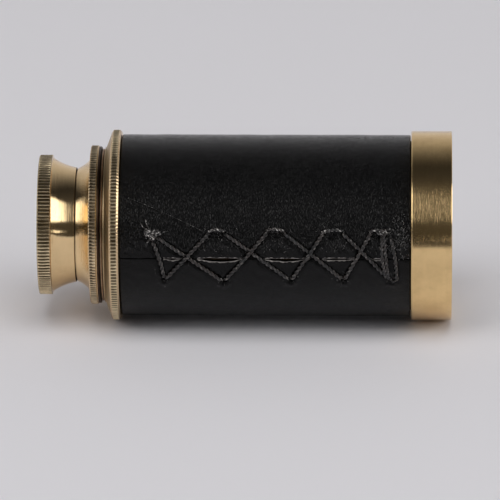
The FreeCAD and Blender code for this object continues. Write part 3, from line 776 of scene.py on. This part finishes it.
def on_cover(x, s, r):
    """A point at distance s round the cover from the seam and radius r, in millimetres."""
    angle = SEAM_ELEVATION + s / COVER_R
    return np.stack([x + 0 * r, -r * np.cos(angle), AXIS_Z + r * np.sin(angle)], -1)


def build_leather():
    """One wrap of leather with rolled ends, a gaping seam and puckers at the stitches."""
    girth = 2 * math.pi * COVER_R
    fine, fine_reach = 0.10, 8.2
    edge_roll = np.array([0.0, 0.03, 0.08, 0.14])
    dense = np.arange(0.2, fine_reach, fine)
    coarse = np.linspace(fine_reach, girth - fine_reach, 130)
    base = np.concatenate([edge_roll, dense, coarse, girth - dense[::-1], girth - edge_roll[::-1]])
    roll = np.array([0.0, 0.03, 0.08, 0.16])
    inside = np.arange(0.28, COVER_END - COVER_START - 0.2, 0.12) + COVER_START
    rows = np.concatenate([COVER_START + roll, inside, COVER_END - roll[::-1]])
    x, s = np.meshgrid(rows, base, indexing="ij")
    upper, lower = gape(rows)
    first, last = np.exp(-base / 1.6), np.exp(-(girth - base) / 1.6)
    s = s + upper[:, None] * first[None, :] - lower[:, None] * last[None, :]
    signed = np.where(s > girth / 2, s - girth, s)
    high = swelling(x, signed)
    from_edge = np.minimum(base, girth - base)
    high = high - (0.11 * np.clip(1 - from_edge / 0.11, 0, 1) ** 2)[None, :]
    from_end = np.minimum(rows - COVER_START, COVER_END - rows)
    high = high - (0.14 * np.clip(1 - from_end / 0.16, 0, 1) ** 2)[:, None]
    outer = on_cover(x, s, COVER_R + high)
    cut_depths = np.array([0.18, 0.60])
    inner_s = np.linspace(0, girth, 64)
    inner_s = inner_s[None, :] + upper[:, None] * np.exp(-inner_s / 1.6) - lower[:, None] * np.exp(
        -(girth - inner_s) / 1.6)
    x_inner = np.repeat(rows[:, None], 64, 1)
    inner = on_cover(x_inner, inner_s, np.full_like(x_inner, COVER_INNER))
    edge_low = on_cover(np.repeat(rows[:, None], 2, 1), np.repeat(s[:, -1:], 2, 1),
                        COVER_R + high[:, -1:] - cut_depths[None, :])
    edge_up = on_cover(np.repeat(rows[:, None], 2, 1), np.repeat(s[:, :1], 2, 1),
                       COVER_R + high[:, :1] - cut_depths[None, ::-1])
    loop = np.concatenate([outer, edge_low, inner[:, ::-1], edge_up], 1)
    count, width = loop.shape[0], loop.shape[1]
    faces, kinds = [], []
    last_outer = outer.shape[1] - 1
    frayed = np.clip(np.round(1.9 + 1.5 * np.sin(rows * 5.3) * np.sin(rows * 2.1 + 1.0)), 0, 3)
    lips = np.where(upper + lower > 0.12, frayed, -1).astype(int)
    for i in range(count - 1):
        for j in range(width):
            k = (j + 1) % width
            faces.append((i * width + j, i * width + k, (i + 1) * width + k, (i + 1) * width + j))
            pale = last_outer - lips[i] <= j <= last_outer or j == width - 1 or j < lips[i] + 1
            kinds.append(1 if pale and lips[i] >= 0 else 0)
    faces.append(tuple(range(width)))
    faces.append(tuple(reversed(range((count - 1) * width, count * width))))
    kinds += [1, 1]
    piece = new_piece("leather_wrap", loop.reshape(-1, 3), faces, [LEATHER, CUT_LEATHER], kinds, 50)
    return stands_for(piece, "leather_cover")


def twisted_tube(points, thick, twist, start_turn=0.0, sides=21):
    """Rings of a two-ply thread along a path in millimetres, and how far out each point is."""
    points = np.asarray(points, float)
    ahead = np.gradient(points, axis=0)
    ahead /= np.linalg.norm(ahead, axis=1)[:, None]
    side = np.cross(ahead[0], (0.3, 0.4, 0.87))
    travelled = np.concatenate([[0], np.cumsum(np.linalg.norm(np.diff(points, axis=0), axis=1))])
    phi = np.arange(sides) * 2 * math.pi / sides
    ply, off = 0.54, 0.46
    rings, crests = [], []
    for k, centre in enumerate(points):
        side = side - ahead[k] * (side @ ahead[k])
        side /= np.linalg.norm(side)
        other = np.cross(ahead[k], side)
        turn = start_turn + travelled[k] / twist * 2 * math.pi
        edge = np.zeros(sides)
        for strand in range(2):
            delta = phi - turn - strand * math.pi
            inside = np.maximum(ply**2 - (off * np.sin(delta)) ** 2, 0)
            edge = np.maximum(edge, np.where(np.cos(delta) > 0, off * np.cos(delta) + np.sqrt(inside), 0))
        ends = min(1.0, 0.35 + min(k, len(points) - 1 - k) * 0.3)
        size = thick * ends * edge
        rings.append(centre + np.outer(size * np.cos(phi), side) + np.outer(size * np.sin(phi), other))
        crests.append(edge)
    return np.array(rings), np.array(crests)


def tube_faces(rings, offset):
    """Quads of a tube's rings with capped ends, for vertices that start at offset."""
    count, sides = rings.shape[:2]
    faces = [tuple(range(offset, offset + sides))]
    for i in range(count - 1):
        for j in range(sides):
            k = (j + 1) % sides
            a, b = offset + i * sides, offset + (i + 1) * sides
            faces.append((a + j, a + k, b + k, b + j))
    faces.append(tuple(reversed(range(offset + (count - 1) * sides, offset + count * sides))))
    return faces


def strand_path(strand, over, bow=0.12, thick=LACE_R, dip=True):
    """Centre line of a strand that lies on the leather and dives into its two holes."""
    (x0, s0), (x1, s1) = strand
    length = math.hypot(x1 - x0, s1 - s0)
    t = np.linspace(0, 1, max(12, int(length / 0.09)))
    across = np.array([-(s1 - s0), x1 - x0]) / length
    x = x0 + (x1 - x0) * t + across[0] * bow * np.sin(math.pi * t)
    s = s0 + (s1 - s0) * t + across[1] * bow * np.sin(math.pi * t)
    high = swelling(x, s) + thick * 0.80
    if over:
        for cx, cs in CROSSINGS:
            high = high + 1.35 * LACE_R * np.exp(-((x - cx) ** 2 + (s - cs) ** 2) / 0.8 ** 2)
    if dip:
        from_end = np.minimum(t, 1 - t) * length
        high = high - 0.9 * np.clip(1 - from_end / 0.5, 0, 1) ** 2
    return on_cover(x, s, np.minimum(COVER_R + high, LACE_TOP - thick * 1.06))


def knot_path(cx, cs, width, height, lift, turn=0.0):
    """A small overhand knot lying on the leather, centred at a point of the unrolled cover."""
    t = np.linspace(0, 2 * math.pi, 150)[:-4]
    a = (2.0 + np.cos(3 * t)) / 3 * np.cos(2 * t + turn)
    b = (2.0 + np.cos(3 * t)) / 3 * np.sin(2 * t + turn)
    return on_cover(cx + width * a, cs + height * b, COVER_R + lift + 0.13 * np.sin(3 * t))


def build_lacing():
    """Crossed strands, doubled bars at the upper holes, the starting knot and the finishing turns."""
    paths = []
    for k, strand in enumerate(UNDER):
        paths.append((strand_path(strand, False, bow=0.16), LACE_R, 0.7 * k))
    for k, strand in enumerate(OVER):
        paths.append((strand_path(strand, True, bow=0.05), LACE_R, 0.4 + 0.9 * k))
    for k, strand in enumerate(ENDS):
        paths.append((strand_path(strand, k > 0, bow=0.25 if k != 1 else -0.12), LACE_R, 0.2 + k))
    (top_x, top_s), (low_x, low_s) = ENDS[1]
    doubled = ((top_x - 0.25, top_s + 0.3), (low_x - 0.3, low_s + 0.1))
    paths.append((strand_path(doubled, True, bow=-0.45), 0.30, 0.9))
    build_threads("lacing", paths, THREAD, "lacing_thread")

    worn = []
    for k, (a, b) in enumerate(BARS):
        tilt = 0.12 * (-1) ** k
        bar = ((a[0] - 0.45, a[1] + 0.15 - tilt), (b[0] + 0.30, b[1] + 0.20 + tilt))
        worn.append((strand_path(bar, False, bow=0.34, thick=0.42), 0.27, 0.3 * k))
        stray = ((a[0] - 0.55, a[1] - 0.45), (a[0] + 0.9, a[1] + 0.55))
        worn.append((strand_path(stray, False, bow=0.20, thick=0.42), 0.15, 0.5 * k))
    foot = (ENDS[1][1], ENDS[2][1])
    worn.append((strand_path(foot, False, bow=-0.25, thick=0.30), 0.20, 0.4))
    start_x, start_s = UPPER[0]
    worn.append((knot_path(start_x - 1.35, start_s + 0.75, 0.62, 0.45, 0.34), 0.20, 0.0))
    worn.append((knot_path(start_x + 0.15, start_s + 0.75, 0.70, 0.40, 0.36, 1.1), 0.19, 0.7))
    worn.append((knot_path(start_x - 0.6, start_s + 0.2, 0.60, 0.60, 0.42, 0.5), 0.22, 0.2))
    worn.append((knot_path(UPPER[8][0] - 0.6, UPPER[8][1] + 0.25, 0.85, 0.40, 0.34, 0.8), 0.20, 0.5))
    for (dx0, ds0), (dx1, ds1), thick in (((-0.9, 0.3), (-1.5, -0.9), 0.17), ((-1.2, 1.0), (-2.6, 2.4), 0.10),
                                          ((-0.9, 1.1), (-1.7, 2.9), 0.08), ((0.9, 0.5), (2.1, 0.9), 0.09)):
        tail = ((start_x + dx0, start_s + ds0), (start_x + dx1, start_s + ds1))
        worn.append((strand_path(tail, False, bow=0.2, thick=0.2, dip=False), thick, 0.3))
    build_threads("lacing_turns", worn, WORN_SHEEN_THREAD)


def build_threads(name, paths, material, node=None, sides=21):
    """One piece of twisted thread from paths with their radii and starting turns."""
    verts, faces, crests = [], [], []
    offset = 0
    for path, thick, turn in paths:
        rings, crest = twisted_tube(path, thick, 5.4 * max(thick, 0.1), turn, sides)
        faces += tube_faces(rings, offset)
        offset += crest.size
        verts.append(rings.reshape(-1, 3))
        crests.append(crest.ravel())
    piece = new_piece(name, np.concatenate(verts), faces, [material], None, 70)
    attribute = piece.data.attributes.new("crest", "FLOAT", "POINT")
    attribute.data.foreach_set("value", np.concatenate(crests).astype(np.float32))
    if node:
        return stands_for(piece, node)
    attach(piece, BODY_OF["lacing_thread"])
    return piece


def loose_fibre(dice, cx, cs, spread, lengths, heading, lift):
    """A short curved fibre near a point of the unrolled cover."""
    x, s = cx + dice.normal(0, spread[0]), cs + dice.normal(0, spread[1])
    length = dice.uniform(*lengths)
    t = np.linspace(0, 1, 9)
    way = heading + dice.normal(0, 0.9) * t
    px = x + np.cumsum(np.cos(way)) * length / 9
    ps = s + np.cumsum(np.sin(way)) * length / 9
    high = 0.02 + lift * np.sin(math.pi * t * dice.uniform(0.4, 1.0))
    return on_cover(px, ps, COVER_R + swelling(px, ps) + high)


def build_fibres():
    """Loose fibres at the holes and knots, and pale scuffed flakes of leather near the holes."""
    dice = np.random.default_rng(SEED + 7)
    paths = []
    for cx, cs in UPPER + LOWER + [UPPER[0]] * 5 + [UPPER[8]] * 3:
        for _ in range(6):
            heading = dice.uniform(0, 2 * math.pi)
            paths.append((loose_fibre(dice, cx, cs, (0.35, 0.3), (0.4, 1.2), heading,
                                      dice.uniform(0.1, 0.4)), 0.018, 0.0))
    for (x0, s0), (x1, s1) in UNDER + OVER + ENDS:
        for _ in range(9):
            t = dice.uniform(0.08, 0.92)
            heading = math.atan2(s1 - s0, x1 - x0) + dice.normal(0, 0.35)
            paths.append((loose_fibre(dice, x0 + (x1 - x0) * t, s0 + (s1 - s0) * t, (0.22, 0.22),
                                      (0.5, 1.3), heading, dice.uniform(0.3, 0.6)), 0.020, 0.0))
    scratch = placed((15.1, 10.2), (27.6, 4.6))
    paths.append((strand_path(scratch, False, bow=0.15, thick=0.02, dip=False), 0.021, 0.0))
    build_threads("lacing_fibres", paths, WORN_SHEEN_THREAD, sides=6)
    flakes = []
    right = (UPPER[8][0] + 2.6, 3.4)
    clusters = [(*hole, 7, (0.9, 0.5)) for hole in UPPER] + [(*hole, 5, (0.8, 0.4)) for hole in LOWER]
    clusters += [((a[0] + b[0]) / 2 + 0.4, 2.0, 26, (1.7, 1.0)) for a, b in BARS]
    for cx, cs, count, spread in clusters + [(*right, 230, (0.9, 1.6))]:
        for _ in range(count):
            heading = math.pi / 2 + dice.normal(0, 0.45)
            flakes.append((loose_fibre(dice, cx, cs, spread, (0.15, 0.6), heading, 0.02),
                           dice.uniform(0.016, 0.05), 0.0))
    build_threads("leather_scuffs", flakes, FLAKES, sides=6)


# ---------------------------------------------------------------- CAD nodes that stay as they are
KEPT = {
    # The barrel tube, seen only through the seam's gap, is painted shade.
    "barrel_tube": PAINTED_SHADE_BRASS, "draw_1_guide_sleeve": INNER_BRASS, "erector_tube": INNER_BRASS,
    "eye_lens_ring": INNER_BRASS, "barrel_lining": FELT, "draw_1_lining": FELT, "draw_2_lining": FELT,
    "field_lens": GLASS, "erector_eye_lens": GLASS, "erector_field_lens": GLASS,
}


def finish_kept_nodes():
    """The inner pieces keep their CAD shape and get their finish."""
    for name, node in frame["nodes"].items():
        if node.hide_render:
            continue
        made = KEPT.get(name, BLACK)
        node.data.materials.clear()
        node.data.materials.append(made)
        node.data.shade_smooth()
        node.data.set_sharp_from_angle(angle=math.radians(40))


# ---------------------------------------------------------------- studio
CAMERA_ELEVATION = 20.0
CAMERA_AZIMUTH = 1.4
CAMERA_ROLL = -0.30
CAMERA_DISTANCE = 1100.0
CAMERA_LENS = 477.6
AIM_DOWN = 4.15              # the view's centre is this far below the axis and right of the middle
AIM_RIGHT = 0.69
SOFTBOX_LOWEST = 25.0        # degrees
SOFTBOX_LEFT, SOFTBOX_RIGHT = 1.75, 2.35
TOP_FILL = 2.4
FLOOR_TONE = (0.815, 0.80, 0.83)


def build_camera():
    """A long lens from the front, a little above."""
    a, e = math.radians(CAMERA_AZIMUTH), math.radians(CAMERA_ELEVATION)
    back = Vector((math.sin(a) * math.cos(e), -math.cos(a) * math.cos(e), math.sin(e)))
    right = Vector((math.cos(a), math.sin(a), 0))
    up = back.cross(right)
    aim = Vector((0, 0, AXIS_Z)) + right * AIM_RIGHT - up * AIM_DOWN
    turn = Matrix((right, up, back)).transposed().to_4x4()
    turn = turn @ Matrix.Rotation(math.radians(CAMERA_ROLL), 4, "Z")
    data = bpy.data.cameras.new("camera")
    data.lens = CAMERA_LENS
    data.sensor_width = 36.0
    data.clip_start, data.clip_end = 0.01, 20.0
    camera = bpy.data.objects.new("camera", data)
    camera.matrix_world = Matrix.Translation((aim + back * CAMERA_DISTANCE) * MM) @ turn
    bpy.context.scene.collection.objects.link(camera)
    bpy.context.scene.camera = camera


def softbox(name, azimuth, elevation, distance, width, height, radiance):
    """A rectangular light that faces the telescope."""
    a, e = math.radians(azimuth), math.radians(elevation)
    way = Vector((math.sin(a) * math.cos(e), -math.cos(a) * math.cos(e), math.sin(e)))
    data = bpy.data.lights.new(name, "AREA")
    data.shape = "RECTANGLE"
    data.size, data.size_y = width, height
    data.energy = radiance * math.pi * width * height
    lamp = bpy.data.objects.new(name, data)
    lamp.location = way * distance
    lamp.rotation_euler = way.to_track_quat("Z", "Y").to_euler()
    lamp.visible_camera = False
    lamp.visible_glossy = False
    bpy.context.scene.collection.objects.link(lamp)


def build_floor():
    """A wide plain pale floor."""
    mesh = bpy.data.meshes.new("floor")
    reach = 6.0
    mesh.from_pydata([(-reach, -reach, 0), (reach, -reach, 0), (reach, reach, 0), (-reach, reach, 0)],
                     [], [(0, 1, 2, 3)])
    floor = bpy.data.objects.new("floor", mesh)
    bpy.context.scene.collection.objects.link(floor)
    made, _, shader = new_material("floor_paper")
    shader.inputs["Base Color"].default_value = (*FLOOR_TONE, 1)
    shader.inputs["Roughness"].default_value = 0.75
    shader.inputs["Specular IOR Level"].default_value = 0.15
    mesh.materials.append(made)


def reflected_card(name, corners, colour, strength):
    """A glowing card that is seen only in reflections."""
    mesh = bpy.data.meshes.new(name)
    mesh.from_pydata(corners, [], [(0, 1, 2, 3)])
    card = bpy.data.objects.new(name, mesh)
    bpy.context.scene.collection.objects.link(card)
    made = bpy.data.materials.new(name + "_face")
    made.use_nodes = True
    tree = made.node_tree
    tree.nodes.clear()
    glow = add(tree, "Emission", {"Color": (*colour, 1.0), "Strength": strength})
    tree.links.new(glow.outputs[0], add(tree, "OutputMaterial").inputs["Surface"])
    mesh.materials.append(made)
    for ray in ("camera", "diffuse", "shadow", "transmission"):
        setattr(card, "visible_" + ray, False)
    return card


def build_cards():
    """A dark card in front, like the unlit side of a studio, and a small white one low on the right."""
    y, half, top = -0.157, 1.2, 0.078
    reflected_card("flag", [(-half, y, 0.0005), (half, y, 0.0005), (half, y, top), (-half, y, top)],
                   (1.0, 0.95, 0.90), 0.055)
    card = reflected_card("card", [(-0.5, 0, 0.0), (0.5, 0, 0.0), (0.5, 0, 1.0), (-0.5, 0, 1.0)],
                          (1.0, 0.99, 0.97), 1.8)
    card.scale = (0.048, 1, 0.011)
    card.location = (0.113, -0.125, 0.018)
    card.rotation_euler = (0, 0, math.radians(32))


def smooth_mask(tree, value, low, high):
    """A soft step from 0 at low to 1 at high."""
    made = add(tree, "MapRange", {"Value": value, "From Min": low, "From Max": high},
               interpolation_type="SMOOTHSTEP")
    return made.outputs[0]


def build_world():
    """A bright backdrop behind, a dim room above and in front, and a large softbox on each side."""
    world = bpy.data.worlds.new("studio")
    bpy.context.scene.world = world
    world.use_nodes = True
    tree = world.node_tree
    background = tree.nodes["Background"]
    way = add(tree, "SeparateXYZ", {0: add(tree, "TexCoord").outputs["Generated"]}).outputs
    rise = calc(tree, "ARCTAN2", way["Z"], way["Y"])
    share = calc(tree, "DIVIDE", rise, math.pi, clamp=True)
    ramp = add(tree, "ValToRGB", {"Fac": share})
    steps = ((0, 0.60), (14, 0.58), (30, 0.47), (38, 0.40), (47, 0.29), (56, 0.19), (63, 0.12),
             (70, 0.075), (77, 0.042), (83, 0.028), (95, 0.036), (106, 0.05), (120, 0.10), (136, 0.16),
             (150, 0.11), (158, 0.055), (180, 0.04))
    stops = ramp.color_ramp.elements
    while len(stops) < len(steps):
        stops.new(0.5)
    for stop, (degrees, level) in zip(stops, steps):
        stop.position = degrees / 180
        stop.color = (level, level * 0.99, level * 1.01, 1)
    aside = calc(tree, "ABSOLUTE", way["X"])
    tilt = math.radians(SOFTBOX_LOWEST)
    above = calc(tree, "MULTIPLY_ADD", way["Y"], math.sin(tilt),
                 calc(tree, "MULTIPLY", way["Z"], math.cos(tilt)))
    under = calc(tree, "MULTIPLY_ADD", aside, 0.44, calc(tree, "MULTIPLY_ADD", way["Y"], -0.70,
                                                         calc(tree, "MULTIPLY", way["Z"], -0.63)))
    box = calc(tree, "MULTIPLY", smooth_mask(tree, above, -0.03, 0.06), smooth_mask(tree, under, -0.05, 0.05))
    nearest = remap(tree, way["X"], -0.2, 0.2, 0.24, 0.42)
    fullest = remap(tree, way["X"], -0.2, 0.2, 0.62, 0.78)
    box = calc(tree, "MULTIPLY", box, smooth_mask(tree, aside, nearest, fullest))
    box = calc(tree, "MULTIPLY", box, smooth_mask(tree, way["X"], -0.97, -0.86))
    level = remap(tree, way["X"], -0.2, 0.2, SOFTBOX_LEFT, SOFTBOX_RIGHT)
    lit = calc(tree, "MULTIPLY", box, level)
    glow = add(tree, "CombineColor", {"Red": lit, "Green": lit, "Blue": lit}).outputs[0]
    total = add(tree, "Mix", data_type="RGBA", blend_type="ADD")
    total.inputs[0].default_value = 1.0
    tree.links.new(ramp.outputs[0], total.inputs[6])
    tree.links.new(glow, total.inputs[7])
    path = add(tree, "LightPath")
    colour = blend_colour(tree, path.outputs["Is Camera Ray"], total.outputs[2], (0.60, 0.60, 0.62))
    tree.links.new(colour, background.inputs["Color"])


def build_studio():
    """Floor, two cards seen only in reflections, backdrop with two large softboxes, and a fill from above."""
    build_floor()
    build_cards()
    build_world()
    softbox("top_fill", 0, 68, 1.2, 0.9, 0.9, TOP_FILL)
    scene = bpy.context.scene
    scene.view_settings.view_transform = "Standard"
    scene.view_settings.look = "None"
    scene.view_settings.exposure = 0.0
    scene.view_settings.gamma = 1.0


# ---------------------------------------------------------------- build it
build_eyecup()
build_flared_collar()
build_cap_ring()
build_threaded_collar()
build_barrel_collar()
build_objective_ring()
build_retaining_ring()
build_lenses()
for draw in (1, 2, 3):
    build_tube(f"draw_{draw}_tube", f"draw_tube_{draw}")
build_leather()
build_lacing()
build_fibres()
finish_kept_nodes()
build_camera()
build_studio()
